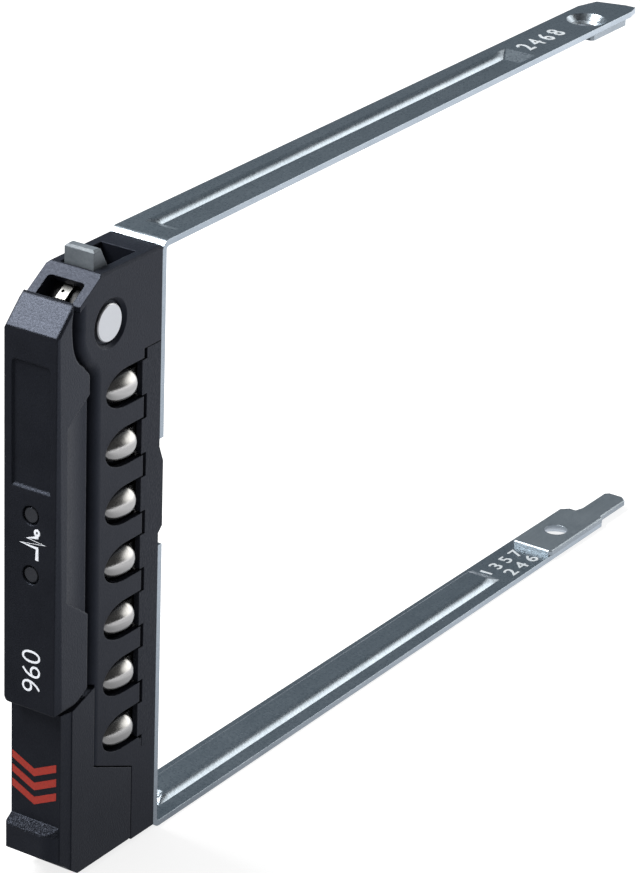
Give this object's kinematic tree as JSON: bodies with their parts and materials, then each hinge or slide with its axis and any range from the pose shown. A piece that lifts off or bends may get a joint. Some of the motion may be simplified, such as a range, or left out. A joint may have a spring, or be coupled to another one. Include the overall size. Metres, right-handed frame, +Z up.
{
  "type": "hot swap drive caddy",
  "caption": "U-shaped steel drive carrier with a black moulded front: swing-out eject lever, sliding release latch, light windows and a side row of domed spring contacts.",
  "frame": {"origin": "bottom centre of the whole carrier's bounding box, on the lower arm's outer face", "axes": "+Y back along the arms, towards the drive's connector; +Z up from the lower arm to the upper arm; +X out of the side that carries the domed contacts"},
  "size_m": [0.0088, 0.1402, 0.0812],
  "materials": {
    "arm_steel": "zinc-plated sheet steel, satin, with pressed ribs",
    "plate_steel": "zinc-plated sheet steel, satin",
    "screw_steel": "plated screw steel",
    "housing_plastic": "fine moulded texture, near black",
    "strip_plastic": "coarser spark texture, near black",
    "contact_steel": "polished stainless spring steel",
    "clear_guide": "clear moulded light guide",
    "pin_steel": "turned and satin finished",
    "lever_casting": "die-cast, blasted grey",
    "spring_steel": "drawn spring wire",
    "cover_plastic": "fine moulded texture, near black",
    "lens_smoked": "smoked lens, unlit",
    "latch_plastic": "fine moulded texture, near black"
  },
  "bodies": {
    "carrier": {"bracket": "arm_steel", "lower_end_plate": "plate_steel", "upper_end_plate": "plate_steel", "lower_web_screw": "screw_steel", "upper_web_screw": "screw_steel", "housing": "housing_plastic", "rear_strip": "strip_plastic", "contact_strip": "contact_steel", "lower_light_guide": "clear_guide", "upper_light_guide": "clear_guide", "pivot_pin": "pin_steel", "pin_ring": "screw_steel", "lever_spring": "spring_steel", "latch_spring": "spring_steel"},
    "lever": {"lever_core": "lever_casting", "spring_anchor": "contact_steel", "front_cover": "cover_plastic", "lower_lens": "lens_smoked", "upper_lens": "lens_smoked", "lower_cover_screw": "screw_steel", "upper_cover_screw": "screw_steel"},
    "latch": {"release_latch": "latch_plastic"}
  },
  "joints": [
    {"name": "lever_hinge", "type": "hinge", "parent": "carrier", "child": "lever", "pos_m": [-0.00042, -0.06003, 0.07235], "axis": [-1, 0, 0], "range_deg": [0, 30]},
    {"name": "latch_slide", "type": "slide", "parent": "carrier", "child": "latch", "axis": [0, 0, -1], "range_m": [0, 0.0018], "stiffness_N_per_m": 400, "springref_m": -0.001, "deforming": ["latch_spring"]}
  ]
}
